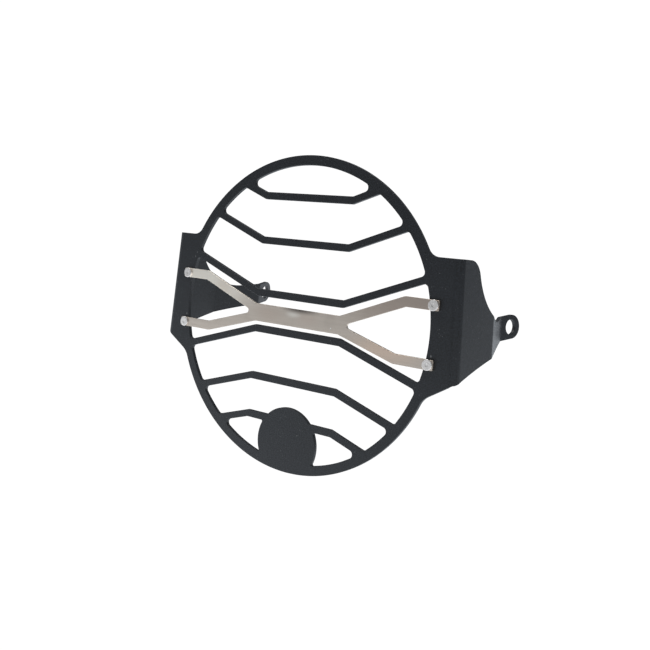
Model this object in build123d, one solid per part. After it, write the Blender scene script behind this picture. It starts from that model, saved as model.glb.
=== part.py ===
from build123d import *
import math
import os

# Motorcycle headlight guard: one folded sheet, a grille with two wings, and a cross brace on four rivets.
# Millimetres, +Z up. The origin is the centre of the ring on the front face, and +Y points at the lamp.

# Sheet of the guard and its folds
sheet = 2.5
fold_radius = 5.0

# Ring
ring_outer_radius = 100.0
ring_width = 6.2
ring_inner_radius = ring_outer_radius - ring_width

# Bars, from the top one down: the heights of their middles, and how their ends run to the ring.
# The outer two of each half keep their distance from the ring, and the inner one from the middle.
bar_width = 4.7
bar_half_flat = 33.3
upper_bar_drops = (20.0, 48.4)
upper_bar_middle = 11.6
lower_bar_middle = 11.7
lower_bar_rises = (51.2, 25.8)
upper_bar_heights = [ring_inner_radius - drop for drop in upper_bar_drops] + [upper_bar_middle]
lower_bar_heights = [-lower_bar_middle] + [rise - ring_inner_radius for rise in lower_bar_rises]
upper_bar_angle = 20.6
lower_bar_angle = 17.5
opening_corner_radius = 2.6

# Plain disc at the foot of the grille
disc_radius = 23.0
disc_rise = 12.3
disc_height = disc_rise - ring_inner_radius

# Cheeks beside the ring, out to the two main folds, which lean in towards the top.
# The half width is that of the folds at the height of the ring's centre.
cheek_overhang = 11.5
cheek_half_width = ring_outer_radius + cheek_overhang
fold_lean = 3.4
cheek_top = 45.3
cheek_bottom = -24.9
cheek_foot_angle = 31.4
cheek_top_fillet = 8.0
cheek_foot_fillet = 12.0

# Wings in plan: lengths of the two panels and the ear, and how far each leans away from straight back
panel_length = 43.5
panel_splay = 2.0
neck_length = 38.6
neck_inset = 16.7
ear_length = 19.6
ear_splay = 13.7

# Wings from the side: the ear rises towards the back, and its height is that of its bolt hole
ear_height = 5.0
ear_rise = 8.0
ear_width = 15.5
shoulder_length = 12.0
shoulder_radius = 12.0
sweep_radius = 41.0
heel_depth = 7.5
heel_rise = 2.4
throat_before_hole = 6.0

# Bolt hole of each ear
ear_hole_radius = 4.85
ear_hole_from_end = 9.6

# Rivet places, from the ring's inner edge and from the middle
rivet_past_ring = 1.4
rivet_spread = ring_inner_radius + rivet_past_ring
rivet_upper_height = 18.4
rivet_lower_height = -15.3

# Cross brace
brace_thickness = 1.5
brace_past_rivet = 3.4
brace_half_length = rivet_spread + brace_past_rivet
brace_middle_half = 32.6
brace_middle_height = -1.2
brace_middle_width = 11.3
brace_strip = 6.1
brace_upper_angle = 21.2
brace_lower_angle = 16.1
brace_crotch_fillet = 1.8
brace_elbow_fillet = 3.0
brace_end_fillet = 0.8

# Rivets: body, tail and the pin that stays inside
rivet_radius = 1.6
rivet_hole_clearance = 0.05
rivet_head_radius = 3.25
rivet_head_thickness = 1.0
rivet_head_edge = 0.35
rivet_tail_radius = 2.5
rivet_tail_length = 2.2
rivet_tail_edge = 0.6
pin_radius = 0.9
pin_clearance = 0.05
pin_recess = 0.25
pin_head_radius = 1.5
pin_head_side = 0.65
pin_tip_radius = 0.75
pin_tip_length = 0.65

# How far cutting tools reach past the sheet, a few times its thickness
reach = 4 * sheet


def from_front(sketch, start, depth):
    """Extrudes a sketch drawn in X and Z, from Y = start back by depth."""
    return Pos(0, start, 0) * extrude(Plane.XZ * sketch, amount=-depth)


def from_side(sketch, half_width):
    """Extrudes a sketch drawn in Y and Z to both sides of the middle plane."""
    return extrude(Plane.YZ * sketch, amount=half_width, both=True)


def nearest_vertex(sketch, x, y):
    """The corner of a sketch that lies nearest to a point."""
    return sketch.vertices().sort_by_distance((x, y, 0))[0]


def step(point, angle, length):
    """The point that lies a length further back, with the line leaning outwards by an angle."""
    lean = math.radians(angle)
    return (point[0] + length * math.sin(lean), point[1] + length * math.cos(lean))


# Plan of the right wing, along its outer face and before it leans
wing_root = (cheek_half_width, 0.0)
panel_end = step(wing_root, panel_splay, panel_length)
neck_end = step(panel_end, -neck_inset, neck_length)
ear_end = step(neck_end, ear_splay, ear_length)
ear_hole = step(ear_end, ear_splay, -ear_hole_from_end)


def leaned(shape):
    """Turns a shape of the upright right wing about the wing's root, so that its top leans in."""
    root = Pos(wing_root[0], 0, 0)
    return root * Rot(0, -fold_lean, 0) * root.inverse() * shape


def folded_strip():
    """The sheet in plan, folded round the lamp, taller than the ring and past the tips of the ears."""
    past_middle = (-ring_outer_radius / 2, 0.0)
    past_ear = step(ear_end, ear_splay, reach)
    radii = [fold_radius, fold_radius, fold_radius - sheet]
    outer_face = FilletPolyline(past_middle, wing_root, panel_end, neck_end, past_ear, radius=radii)
    plan = make_face(offset(outer_face, sheet, kind=Kind.INTERSECTION, side=Side.LEFT, closed=True).edges())
    half_height = 1.25 * ring_outer_radius
    right = leaned(extrude(Pos(0, 0, -half_height) * plan, amount=2 * half_height))
    return right + mirror(right, Plane.YZ)


def bar_edge(height, angle):
    """Corner points of one edge of a bar, from left to right and past the ring."""
    run = ring_outer_radius - bar_half_flat
    end_height = height + run * math.tan(math.radians(angle))
    left = [(-ring_outer_radius, end_height), (-bar_half_flat, height)]
    right = [(bar_half_flat, height), (ring_outer_radius, end_height)]
    return left + right


def openings():
    """The gaps of the grille as rounded sketches: over, between and under the bars, clear of the disc."""
    bars = [(height, upper_bar_angle) for height in upper_bar_heights]
    bars += [(height, -lower_bar_angle) for height in lower_bar_heights]
    over = [(-ring_outer_radius, ring_outer_radius), (ring_outer_radius, ring_outer_radius)]
    under = [(-ring_outer_radius, -ring_outer_radius), (ring_outer_radius, -ring_outer_radius)]
    tops = [over] + [bar_edge(height - bar_width / 2, angle) for height, angle in bars]
    feet = [bar_edge(height + bar_width / 2, angle) for height, angle in bars] + [under]
    disc = Pos(0, disc_height) * Circle(disc_radius)
    gaps = []
    for top, foot in zip(tops, feet):
        band = make_face(Polyline(*top, *reversed(foot), close=True))
        for gap in (Circle(ring_inner_radius) & band - disc).faces():
            gaps.append(fillet(gap.vertices(), opening_corner_radius))
    return gaps


def front_outline():
    """Outline of the ring with both cheeks and their fillets."""
    inside = ring_inner_radius - cheek_foot_fillet
    slope = math.tan(math.radians(cheek_foot_angle))
    foot_end = cheek_half_width - cheek_bottom * math.tan(math.radians(fold_lean)) - sheet
    edge = cheek_half_width + reach
    foot = cheek_bottom - (foot_end - inside) * slope
    outline = Sketch() + Circle(ring_outer_radius)
    for side in (-1, 1):
        corners = [
            (0, cheek_top),
            (side * edge, cheek_top),
            (side * edge, cheek_bottom),
            (side * foot_end, cheek_bottom),
            (side * inside, foot),
            (0, foot),
        ]
        outline += make_face(Polyline(*corners, close=True))
    for side in (-1, 1):
        top_x = math.sqrt(ring_outer_radius**2 - cheek_top**2)
        outline = fillet(nearest_vertex(outline, side * top_x, cheek_top), cheek_top_fillet)
        foot_z = cheek_bottom - (foot_end - ring_inner_radius) * slope
        outline = fillet(nearest_vertex(outline, side * ring_inner_radius, foot_z), cheek_foot_fillet)
    return outline


def side_outline():
    """Outline of a wing from the side, with the whole height of the face in front of its fold."""
    rise = math.radians(ear_rise)
    ear = Plane(origin=(ear_hole[1], ear_height), x_dir=(math.cos(rise), math.sin(rise)), z_dir=(0, 0, 1))
    half = ear_width / 2
    tip_centre = ear_hole_from_end - half
    tip_places = [(tip_centre, half), (tip_centre + half, 0), (tip_centre, -half)]
    tip = [ear.from_local_coords(Vector(*place)) for place in tip_places]
    throat = ear.from_local_coords(Vector(-throat_before_hole, -half))
    heel = (heel_depth, cheek_bottom + heel_rise)
    # the sweep touches the ear's upper edge and the arc of the shoulder
    shoulder = Vector(shoulder_length, cheek_top - shoulder_radius)
    from_ear = ear.to_local_coords(shoulder)
    both_radii = shoulder_radius + sweep_radius
    run = math.sqrt(both_radii**2 - (half + sweep_radius - from_ear.Y) ** 2)
    sweep = ear.from_local_coords(Vector(from_ear.X + run, half + sweep_radius))
    sweep_foot = ear.from_local_coords(Vector(from_ear.X + run, half))
    bend = shoulder + (sweep - shoulder) * (shoulder_radius / both_radii)
    tall = 2 * ring_outer_radius
    edges = [
        Line((-reach, tall), (fold_radius, tall)),
        Line((fold_radius, tall), (fold_radius, cheek_top)),
        Line((fold_radius, cheek_top), (shoulder_length, cheek_top)),
        RadiusArc((shoulder_length, cheek_top), bend, shoulder_radius),
        RadiusArc(bend, sweep_foot, -sweep_radius),
        Line(sweep_foot, tip[0]),
        ThreePointArc(*tip),
        Line(tip[2], throat),
        TangentArc(throat, heel, tangent=(-math.cos(rise), -math.sin(rise))),
        Line(heel, (fold_radius, cheek_bottom)),
        Line((fold_radius, cheek_bottom), (fold_radius, -tall)),
        Line((fold_radius, -tall), (-reach, -tall)),
        Line((-reach, -tall), (-reach, tall)),
    ]
    return make_face(edges)


def bolt_hole():
    """The tool for the bolt hole of the right ear, square to its sheet."""
    lean = math.radians(fold_lean)
    splay = math.radians(ear_splay)
    upright_height = (ear_height - (ear_hole[0] - wing_root[0]) * math.sin(lean)) / math.cos(lean)
    face = Plane(origin=(*ear_hole, upright_height), z_dir=(math.cos(splay), -math.sin(splay), 0))
    return leaned(extrude(face * Circle(ear_hole_radius), amount=reach, both=True))


def rivet_places():
    """Name, X and Z of each rivet."""
    rows = (("upper", rivet_upper_height), ("lower", rivet_lower_height))
    columns = (("left", -rivet_spread), ("right", rivet_spread))
    return [(f"{row}_{column}", x, z) for row, z in rows for column, x in columns]


def rivet_holes(start, depth):
    """Tools for the rivet holes of a plate, from Y = start back by depth."""
    return [
        from_front(Pos(x, z) * Circle(rivet_radius + rivet_hole_clearance), start, depth)
        for _, x, z in rivet_places()
    ]


def guard_plate():
    """The folded sheet: ring, bars, disc, cheeks, wings and ears in one piece."""
    plate = folded_strip() & from_front(front_outline(), -reach, ear_end[1] + 2 * reach)
    plate &= from_side(side_outline(), cheek_half_width + reach)
    for gap in openings():
        plate -= from_front(gap, -reach, 2 * reach)
    for hole in rivet_holes(-reach, 2 * reach):
        plate -= hole
    hole = bolt_hole()
    return plate - hole - mirror(hole, Plane.YZ)


def brace_outline():
    """Outline of the cross brace: a middle bar, four arms at the bars' slopes and four flat ends."""
    middle_top = brace_middle_height + brace_middle_width / 2
    middle_foot = brace_middle_height - brace_middle_width / 2
    half = brace_strip / 2
    upper = math.radians(brace_upper_angle)
    lower = math.radians(brace_lower_angle)
    upper_end = (rivet_upper_height - half, rivet_upper_height + half)
    lower_end = (rivet_lower_height - half, rivet_lower_height + half)
    # the inner edge of each arm starts one strip's width inside the corner of the middle bar
    upper_inner = (brace_middle_half + brace_strip * math.sin(upper), middle_top - brace_strip * math.cos(upper))
    lower_inner = (brace_middle_half + brace_strip * math.sin(lower), middle_foot + brace_strip * math.cos(lower))
    slopes = math.tan(upper) + math.tan(lower)
    drop = upper_inner[1] - lower_inner[1] - upper_inner[0] * math.tan(upper) - lower_inner[0] * math.tan(lower)
    crotch_x = -drop / slopes
    crotch = (crotch_x, upper_inner[1] + (crotch_x - upper_inner[0]) * math.tan(upper))
    elbows = [
        (brace_middle_half + (upper_end[1] - middle_top) / math.tan(upper), upper_end[1]),
        (upper_inner[0] + (upper_end[0] - upper_inner[1]) / math.tan(upper), upper_end[0]),
        (lower_inner[0] + (lower_inner[1] - lower_end[1]) / math.tan(lower), lower_end[1]),
        (brace_middle_half + (middle_foot - lower_end[0]) / math.tan(lower), lower_end[0]),
    ]
    right = [
        (brace_middle_half, middle_top),
        elbows[0],
        (brace_half_length, upper_end[1]),
        (brace_half_length, upper_end[0]),
        elbows[1],
        crotch,
        elbows[2],
        (brace_half_length, lower_end[1]),
        (brace_half_length, lower_end[0]),
        elbows[3],
        (brace_middle_half, middle_foot),
    ]
    left = [(-x, z) for x, z in reversed(right)]
    outline = make_face(Polyline(*right, *left, close=True))
    for side in (-1, 1):
        outline = fillet(nearest_vertex(outline, side * crotch[0], crotch[1]), brace_crotch_fillet)
        for x, z in elbows:
            outline = fillet(nearest_vertex(outline, side * x, z), brace_elbow_fillet)
        for z in (*upper_end, *lower_end):
            outline = fillet(nearest_vertex(outline, side * brace_half_length, z), brace_end_fillet)
    return outline


def cross_brace():
    """The flat brace that lies on the front of the guard."""
    brace = from_front(brace_outline(), -brace_thickness, brace_thickness)
    for hole in rivet_holes(-reach, 2 * reach):
        brace -= hole
    return brace


def turned(points, x, z):
    """A solid turned about the line through X and Z that runs back, from points of radius and Y."""
    profile = make_face(Polyline(*points, close=True))
    return Pos(x, 0, z) * revolve(profile, Axis.Y)


def rivet_body(x, z):
    """A rivet: its head on the brace, its shank through both sheets and its tail set behind the guard."""
    bore = pin_radius + pin_clearance
    front = -brace_thickness - rivet_head_thickness
    tail_end = sheet + rivet_tail_length
    return turned(
        [
            (bore, front),
            (rivet_head_radius - rivet_head_edge, front),
            (rivet_head_radius, front + rivet_head_edge),
            (rivet_head_radius, -brace_thickness),
            (rivet_radius, -brace_thickness),
            (rivet_radius, sheet),
            (rivet_tail_radius, sheet),
            (rivet_tail_radius, tail_end - rivet_tail_edge),
            (rivet_tail_radius - rivet_tail_edge, tail_end),
            (bore, tail_end),
        ],
        x,
        z,
    )


def rivet_pin(x, z):
    """The pin that stays in a set rivet, with its head against the end of the tail."""
    front = -brace_thickness - rivet_head_thickness + pin_recess
    tail_end = sheet + rivet_tail_length
    side_end = tail_end + pin_head_side
    tip = side_end + pin_tip_length
    return turned(
        [
            (0, front),
            (pin_radius, front),
            (pin_radius, tail_end),
            (pin_head_radius, tail_end),
            (pin_head_radius, side_end),
            (pin_tip_radius, tip),
            (0, tip),
        ],
        x,
        z,
    )


os.makedirs("parts", exist_ok=True)
export_step(guard_plate(), "parts/guard_plate.step")
export_step(cross_brace(), "parts/cross_brace.step")
for name, rivet_x, rivet_z in rivet_places():
    export_step(rivet_body(rivet_x, rivet_z), f"parts/rivet_{name}.step")
    export_step(rivet_pin(rivet_x, rivet_z), f"parts/rivet_pin_{name}.step")
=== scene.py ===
"""Looks of a motorcycle headlight guard: a folded, powder coated grille with a riveted cross brace.

Lengths are millimetres in the classes and become metres in the meshes. The origin is the centre of the ring
on the front face of the sheet, X runs to the right seen from in front, Y back to the lamp and Z up. A place
on a flat blank is a complex number: the run across it, plus i times the height.
"""
import logging
import math
from dataclasses import dataclass
from enum import Enum
from typing import Dict, List, Optional, Sequence, Tuple, Union

import bpy
import numpy as np
from mathutils import Euler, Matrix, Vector
from mathutils.geometry import delaunay_2d_cdt


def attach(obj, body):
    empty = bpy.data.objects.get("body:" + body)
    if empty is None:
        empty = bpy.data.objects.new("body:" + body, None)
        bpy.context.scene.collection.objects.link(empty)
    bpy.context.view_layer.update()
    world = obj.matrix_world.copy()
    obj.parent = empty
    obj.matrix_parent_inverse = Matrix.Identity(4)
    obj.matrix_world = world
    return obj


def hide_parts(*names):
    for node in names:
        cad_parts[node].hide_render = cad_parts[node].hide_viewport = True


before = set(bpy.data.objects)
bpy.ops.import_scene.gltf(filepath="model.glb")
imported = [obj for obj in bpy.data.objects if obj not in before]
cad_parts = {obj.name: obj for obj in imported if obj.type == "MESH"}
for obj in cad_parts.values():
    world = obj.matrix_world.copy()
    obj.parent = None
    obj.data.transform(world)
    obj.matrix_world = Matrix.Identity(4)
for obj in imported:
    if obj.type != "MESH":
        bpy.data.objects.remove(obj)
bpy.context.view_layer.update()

METRES = 0.001
BODY = "root"
NEARLY_ZERO = 1e-9
WELD = 1e-6
WIDEST_TURN = math.radians(8.0)
WHITE = (1.0, 1.0, 1.0, 1.0)

Triple = Tuple[float, float, float]
Colour = Triple
Inputs = Dict[Union[int, str], object]

logging.basicConfig(level=logging.INFO, format="%(name)s: %(message)s")
log = logging.getLogger("headlight_guard")


# Cut outlines


class Turn(Enum):
    """The way that a path bends, seen from above its plane."""

    LEFT = 1
    RIGHT = -1


@dataclass(frozen=True)
class Straight:
    """A straight cut through a point of the blank, with its heading in degrees."""

    through: complex
    heading: float

    @property
    def direction(self) -> complex:
        """Unit vector along the cut."""
        return complex(math.cos(math.radians(self.heading)), math.sin(math.radians(self.heading)))

    def shifted(self, distance: float) -> "Straight":
        """The same cut moved to its own left by a distance."""
        return Straight(self.through + 1j * self.direction * distance, self.heading)

    def foot(self, point: complex) -> complex:
        """The point of the cut that is nearest to a point."""
        offset = (point - self.through) * self.direction.conjugate()
        return self.through + offset.real * self.direction

    def heading_at(self, point: complex) -> complex:
        """Unit vector of travel at a point."""
        return self.direction

    def sample(self, start: complex, end: complex, step: float) -> np.ndarray:
        """Points from start to end, both included: the straight line, with a point every step or less."""
        count = max(2, 1 + math.ceil(abs(end - start) / step))
        return start + (end - start) * np.linspace(0.0, 1.0, count)


@dataclass(frozen=True)
class Round:
    """A cut along a circle, travelled with the circle's centre on its left or on its right."""

    centre: complex
    radius: float
    turn: Turn = Turn.LEFT

    def shifted(self, distance: float) -> "Round":
        """The same cut moved to its own left by a distance."""
        return Round(self.centre, self.radius - self.turn.value * distance, self.turn)

    def foot(self, point: complex) -> complex:
        """The point of the cut that is nearest to a point."""
        return self.centre + self.radius * (point - self.centre) / abs(point - self.centre)

    def heading_at(self, point: complex) -> complex:
        """Unit vector of travel at a point."""
        return self.turn.value * 1j * (point - self.centre) / abs(point - self.centre)

    def sample(self, start: complex, end: complex, step: float) -> np.ndarray:
        """Points from start to end: the centre plus the first radius vector, turned by even steps.

        Args:
            start: where the cut joins the circle.
            end: where it leaves the circle.
            step: the longest chord; a turn per point is also kept under the widest one.

        Returns:
            Complex points, both ends included.
        """
        sweep = np.angle((end - self.centre) / (start - self.centre)) * self.turn.value
        sweep = sweep % (2.0 * math.pi)
        count = max(3, 1 + math.ceil(sweep / min(step / self.radius, WIDEST_TURN)))
        turned = np.exp(1j * self.turn.value * np.linspace(0.0, sweep, count))
        return self.centre + (start - self.centre) * turned


Cut = Union[Straight, Round]


def crossings(first: Cut, second: Cut) -> np.ndarray:
    """Points where two cuts cross.

    Two lines cross where the cross product of their offset and heading says. A circle meets another curve at
    the ends of a chord: the chord's middle plus and minus half its length.

    Args:
        first: a straight or round cut.
        second: a straight or round cut.

    Returns:
        One or two complex points.
    """
    if isinstance(first, Straight) and isinstance(second, Straight):
        across = (first.direction.conjugate() * second.direction).imag
        along = ((second.through - first.through).conjugate() * second.direction).imag / across
        return np.array([first.through + along * first.direction])
    if isinstance(first, Round) and isinstance(second, Round):
        gap = second.centre - first.centre
        reach = (abs(gap) ** 2 + first.radius**2 - second.radius**2) / (2.0 * abs(gap))
        middle = first.centre + reach * gap / abs(gap)
        chord = 1j * gap / abs(gap) * math.sqrt(max(first.radius**2 - reach**2, 0.0))
        return np.array([middle - chord, middle + chord])
    line, circle = (first, second) if isinstance(first, Straight) else (second, first)
    middle = line.foot(circle.centre)
    half = math.sqrt(max(circle.radius**2 - abs(middle - circle.centre) ** 2, 0.0))
    return np.array([middle - half * line.direction, middle + half * line.direction])


@dataclass(frozen=True)
class Corner:
    """The rounded corner at the end of a cut: its radius and the way that it turns."""

    radius: float
    turn: Turn = Turn.LEFT


Arc = Tuple[complex, complex, complex]


@dataclass
class CutPath:
    """A chain of cuts with a rounded corner after each, as a laser would follow it.

    The centre of each corner is where the two cuts cross once both are moved to the inside of the turn by the
    corner's radius, and the corner touches each cut at the foot of that centre.
    """

    cuts: List[Cut]
    corners: List[Corner]
    step: float = 1.5

    def _arcs(self, following: List[Cut]) -> List[Arc]:
        """Works out the rounded corners.

        Args:
            following: the cut that comes after each cut's corner.

        Returns:
            For each corner where it starts, its centre, and where it ends.
        """
        arcs: List[Arc] = []
        for first, second, corner in zip(self.cuts, following, self.corners):
            turn = corner.turn.value
            centres = crossings(first.shifted(turn * corner.radius), second.shifted(turn * corner.radius))
            bends = [turn * (first.heading_at(c).conjugate() * second.heading_at(c)).imag for c in centres]
            centre = complex(centres[int(np.argmax(bends))])
            arcs.append((first.foot(centre), centre, second.foot(centre)))
        return arcs

    def _with_corners(self, begins: List[complex], arcs: List[Arc]) -> List[np.ndarray]:
        """Samples each cut and the corner after it.

        Args:
            begins: where each cut is joined.
            arcs: the corners after the cuts.

        Returns:
            Points of each cut and each corner, without their last ones.
        """
        pieces: List[np.ndarray] = []
        for cut, begin, (leave, centre, join), corner in zip(self.cuts, begins, arcs, self.corners):
            pieces.append(cut.sample(begin, leave, self.step)[:-1])
            pieces.append(Round(centre, corner.radius, corner.turn).sample(leave, join, self.step)[:-1])
        return pieces

    def closed(self) -> np.ndarray:
        """Follows the whole loop.

        Returns:
            Its points, each once, starting at the end of the last corner.
        """
        arcs = self._arcs(self.cuts[1:] + self.cuts[:1])
        begins = [join for _, _, join in arcs[-1:] + arcs[:-1]]
        return np.concatenate(self._with_corners(begins, arcs))

    def open_between(self, start: complex, end: complex) -> np.ndarray:
        """Follows the chain without closing it.

        Args:
            start: a place on the first cut.
            end: a place on the last cut.

        Returns:
            Points from start to end, both included.
        """
        arcs = self._arcs(self.cuts[1:])
        begins = [start] + [join for _, _, join in arcs]
        last = self.cuts[-1].sample(begins[-1], end, self.step)
        return np.concatenate(self._with_corners(begins, arcs) + [last])


def circle_loop(centre: complex, radius: float, count: int) -> np.ndarray:
    """A full circle travelled to the right: the centre plus the radius at even turns."""
    return centre + radius * np.exp(-2j * math.pi * np.arange(count) / count)


# Folding


@dataclass(frozen=True)
class Fold:
    """A press-brake fold, by the angle that the plan turns through: positive towards the lamp."""

    angle: float


@dataclass(frozen=True)
class Plan:
    """The sheet's plan: flat stretches between folds, the same on both sides of the middle.

    The outer face runs from the middle along each flat to its fold. A flat is a straight run, a fold an arc,
    and both are p0 + (exp(i k s) - 1) / (i k) * exp(i a), with k the curvature, s the run and a the first
    heading. All fold lines lean in towards their tops by one angle. A wing is worked out upright, and its
    blank and its folded form are both turned by that angle about the corner of the first fold. The axis is a
    line along the wing's middle, and line_spacing is the most degrees of a fold between two of its lines.
    """

    sheet: float
    inner_radius: float
    flats: Tuple[float, ...]
    folds: Tuple[Fold, ...]
    lean: float = 0.0
    line_spacing: float = 4.0
    bend_points: int = 400
    wing_points: int = 4000
    past_end: float = 10.0
    axis_runs: Tuple[float, ...] = (111.0, 160.0, 210.0)
    axis_heights: Tuple[float, ...] = (0.0, 3.0, 11.5)

    @property
    def corner(self) -> float:
        """Run at which the cheek would meet the wing if the first fold were sharp."""
        return self.flats[0]

    @property
    def turn(self) -> complex:
        """Unit complex number of the lean."""
        return complex(math.cos(math.radians(self.lean)), math.sin(math.radians(self.lean)))

    def upright(self, place: np.ndarray) -> np.ndarray:
        """Places of either half, seen as the right one, with upright fold lines: c + (p - c) / turn."""
        return self.corner + (np.abs(place.real) + 1j * place.imag - self.corner) / self.turn

    def leaning(self, upright: np.ndarray) -> np.ndarray:
        """The way back on the right half: c + (p - c) * turn."""
        return self.corner + (upright - self.corner) * self.turn

    def signed_run(self, place: np.ndarray) -> np.ndarray:
        """Upright runs of places of the blank, negative on the left half."""
        return np.copysign(self.upright(place).real, place.real)

    def above_axis(self, place: np.ndarray) -> np.ndarray:
        """Which places of the blank lie over the wing's middle line, by interpolation along it."""
        return place.imag > np.interp(np.abs(place.real), self.axis_runs, self.axis_heights)

    def stretches(self) -> np.ndarray:
        """Follows the outer face over its flats and folds.

        Returns:
            Start, curvature, heading and first point (x, y) of each flat and fold, one row each.
        """
        rows: List[Tuple[float, float, float, float, float]] = []
        along, heading, point = 0.0, 0.0, 0j
        taken = 0.0
        for index, flat in enumerate(self.flats):
            fold = self.folds[index] if index < len(self.folds) else None
            angle = math.radians(fold.angle) if fold else 0.0
            radius = self.inner_radius + (self.sheet if angle > 0.0 else 0.0)
            setback = radius * math.tan(abs(angle) / 2.0)
            run = flat - taken - setback
            rows.append((along, 0.0, heading, point.real, point.imag))
            along += run
            point += run * np.exp(1j * heading)
            if fold:
                bend = math.copysign(1.0 / radius, angle)
                rows.append((along, bend, heading, point.real, point.imag))
                point += np.exp(1j * heading) * (np.exp(1j * angle) - 1.0) / (1j * bend)
                along += radius * abs(angle)
                heading += angle
            taken = setback
        rows.append((along, 0.0, heading, point.real, point.imag))
        return np.array(rows)

    @property
    def length(self) -> float:
        """Run of the outer face from the middle to the end of the ear."""
        return float(self.stretches()[-1, 0])

    def fold_runs(self) -> np.ndarray:
        """Works out the lines that divide the folds.

        Returns:
            Their runs, on the left and on the right.
        """
        table = self.stretches()
        lines: List[np.ndarray] = []
        for row, after in zip(table[:-1], table[1:]):
            if row[1] != 0.0:
                degrees = math.degrees(abs(row[1]) * (after[0] - row[0]))
                lines.append(np.linspace(row[0], after[0], 1 + math.ceil(degrees / self.line_spacing)))
        right = np.concatenate(lines)
        return np.concatenate([-right, right])

    def outer_face(self, run: np.ndarray) -> Tuple[np.ndarray, np.ndarray]:
        """Points of the outer face in plan and the headings there.

        Args:
            run: distances from the middle along the outer face, negative on the left.

        Returns:
            Complex points x + i y, and unit complex headings for a growing run.
        """
        table = self.stretches()
        away = np.abs(run)
        row = table[np.clip(np.searchsorted(table[:, 0], away, side="right") - 1, 0, len(table) - 1)]
        start, bend, heading, first = row[:, 0], row[:, 1], row[:, 2], row[:, 3] + 1j * row[:, 4]
        local = away - start
        flat = bend == 0.0
        safe = np.where(flat, 1.0, bend)
        chord = np.where(flat, local, (np.exp(1j * safe * local) - 1.0) / (1j * safe))
        point = first + chord * np.exp(1j * heading)
        tangent = np.exp(1j * (heading + bend * local))
        left = run < 0.0
        return np.where(left, -point.conj(), point), np.where(left, tangent.conj(), tangent)

    def first_bend(self, height: float) -> Tuple[float, float]:
        """Finds the place half way round the first fold of the right wing.

        Args:
            height: the height to look at.

        Returns:
            X and depth of the outer face there.
        """
        start, end = self.stretches()[1:3, 0]
        middle = complex(self.outer_face(np.array([(start + end) / 2.0]))[0][0])
        upright_height = (height - (middle.real - self.corner) * self.turn.imag) / self.turn.real
        place = self.leaning(np.array([middle.real + 1j * upright_height]))
        return float(place[0].real), middle.imag

    def from_front(self, outline: np.ndarray) -> np.ndarray:
        """Places on the blank's right half of outer face points that are given from in front.

        Args:
            outline: x + i height, no further than the end of the first fold.

        Returns:
            The same points on the blank: the run at each upright x, by interpolation, at the upright height.
        """
        table = self.stretches()
        bend = np.linspace(table[1, 0], table[2, 0], self.bend_points)
        run = np.concatenate([[-table[1, 0]], bend])
        upright = self.upright(outline)
        return self.leaning(np.interp(upright.real, self.outer_face(run)[0].real, run) + 1j * upright.imag)

    def from_side(self, outline: np.ndarray) -> np.ndarray:
        """Places on the blank's right half of outer face points that are given from the side.

        Args:
            outline: depth + i height, anywhere from the first fold to a little past the end.

        Returns:
            The same points on the blank: the run at each depth, by interpolation, at the upright height
            (z - (x - c) sin lean) / cos lean.
        """
        table = self.stretches()
        run = np.linspace(table[1, 0], self.length + self.past_end, self.wing_points)
        run = np.interp(outline.real, self.outer_face(run)[0].imag, run)
        away = self.outer_face(run)[0].real - self.corner
        return self.leaning(run + 1j * (outline.imag - away * self.turn.imag) / self.turn.real)


@dataclass
class Loop:
    """A closed cut edge of a blank, with the material on its left, and how its edge is rounded."""

    points: np.ndarray
    edge_radius: float
    rim: float

    def outward(self) -> np.ndarray:
        """Unit normals away from the material: the central difference of the points, turned to the right."""
        across = np.roll(self.points, -1) - np.roll(self.points, 1)
        return -1j * across / np.abs(across)

    def split_at(self, plan: Plan) -> "Loop":
        """The same loop with a point wherever it crosses a line of a fold.

        Each segment is compared with each line at once, and a crossing goes in by its share of the segment.

        Args:
            plan: the plan that says where the sheet bends.

        Returns:
            A new loop.
        """
        here, there = self.points, np.roll(self.points, -1)
        runs = plan.fold_runs()
        before = plan.signed_run(here)[:, None] - runs[None, :]
        after = plan.signed_run(there)[:, None] - runs[None, :]
        segment, line = np.nonzero(before * after < -NEARLY_ZERO)
        share = before[segment, line] / (before[segment, line] - after[segment, line])
        extra = here[segment] + share * (there[segment] - here[segment])
        order = np.argsort(np.concatenate([np.arange(len(here)), segment + share]), kind="stable")
        return Loop(np.concatenate([here, extra])[order], self.edge_radius, self.rim)


def inside(points: np.ndarray, loops: Sequence[Loop]) -> np.ndarray:
    """Which points are on the sheet: those from which a ray along the run crosses an odd number of edges.

    Args:
        points: places on the blank.
        loops: all cut edges of the sheet.

    Returns:
        True or false for each point.
    """
    here = np.concatenate([loop.points for loop in loops])
    there = np.concatenate([np.roll(loop.points, -1) for loop in loops])
    height = points.imag[:, None]
    spans = (here.imag > height) != (there.imag > height)
    rise = np.where(there.imag == here.imag, 1.0, there.imag - here.imag)
    meets = here.real + (height - here.imag) * (there.real - here.real) / rise
    return np.count_nonzero(spans & (points.real[:, None] < meets), axis=1) % 2 == 1


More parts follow.
